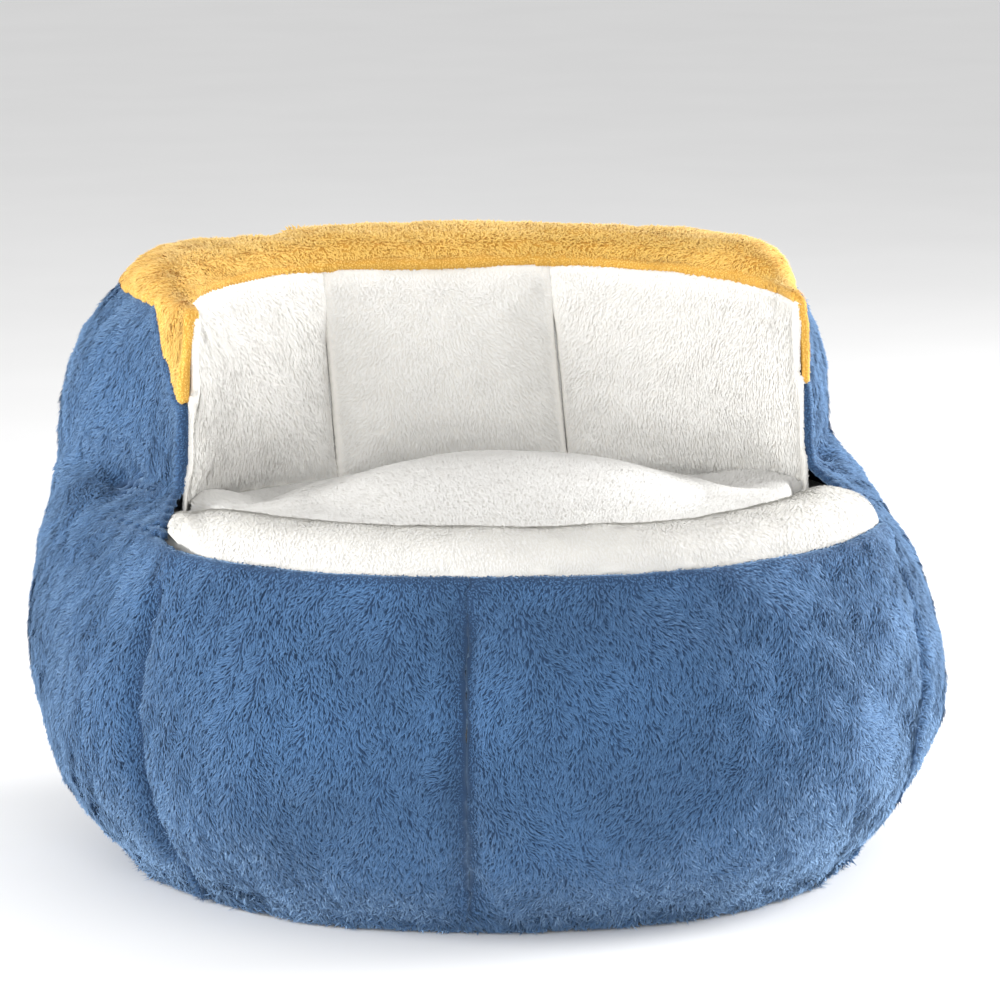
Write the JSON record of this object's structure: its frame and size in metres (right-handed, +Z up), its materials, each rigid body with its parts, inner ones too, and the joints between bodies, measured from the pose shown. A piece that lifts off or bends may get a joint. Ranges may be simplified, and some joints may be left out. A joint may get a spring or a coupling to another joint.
{
  "type": "bean bag chair",
  "caption": "Round plush bean bag chair with a low wrap-around padded back, a domed seat, a padded seat lip, a banded top edge, a carry handle and a refill zip in its floor panel.",
  "frame": {"origin": "on the floor, under the middle of the bag", "axes": "+Z up, the chair faces -Y, +X to the right of a viewer who faces the chair"},
  "size_m": [0.9044, 0.9077, 0.5871],
  "materials": {
    "blue_plush": "short plush pile",
    "white_plush": "short plush pile",
    "mustard_plush": "short plush pile",
    "floor_cloth": "woven canvas",
    "zip_tape": "woven tape",
    "zip_coil": "nylon coil",
    "zip_metal": "plated",
    "liner_cloth": "woven lining",
    "bead_fill": "foam beads",
    "wadding": "fibre wadding"
  },
  "bodies": {
    "bag": {"front_left_panel": "blue_plush", "front_right_panel": "blue_plush", "left_side_panel": "blue_plush", "right_side_panel": "blue_plush", "rear_panel": "blue_plush", "back_panel_left": "white_plush", "back_panel_centre": "white_plush", "back_panel_right": "white_plush", "seat_lip": "white_plush", "seat_surround": "white_plush", "seat_cushion": "white_plush", "top_band": "mustard_plush", "base_front_panel": "floor_cloth", "base_rear_panel": "floor_cloth", "zip_tape_front": "zip_tape", "zip_tape_rear": "zip_tape", "zip_coil_front": "zip_coil", "zip_coil_rear": "zip_coil", "zip_stops": "zip_metal", "base_liner": "liner_cloth", "back_liner": "liner_cloth", "base_fill": "bead_fill", "back_fill": "bead_fill", "seat_pad": "wadding"},
    "carry_handle": {"carry_handle": "mustard_plush"},
    "zip_slider": {"zip_slider": "zip_metal"}
  },
  "joints": [
    {"name": "handle_swing", "type": "hinge", "parent": "bag", "child": "carry_handle", "pos_m": [-0.06919, 0.41255, 0.553], "axis": [-0.9803, -0.1975, 0], "range_deg": [-83, 87]},
    {"name": "zip_slide", "type": "slide", "parent": "bag", "child": "zip_slider", "axis": [1, 0, 0], "range_m": [-0.445, 0]}
  ]
}
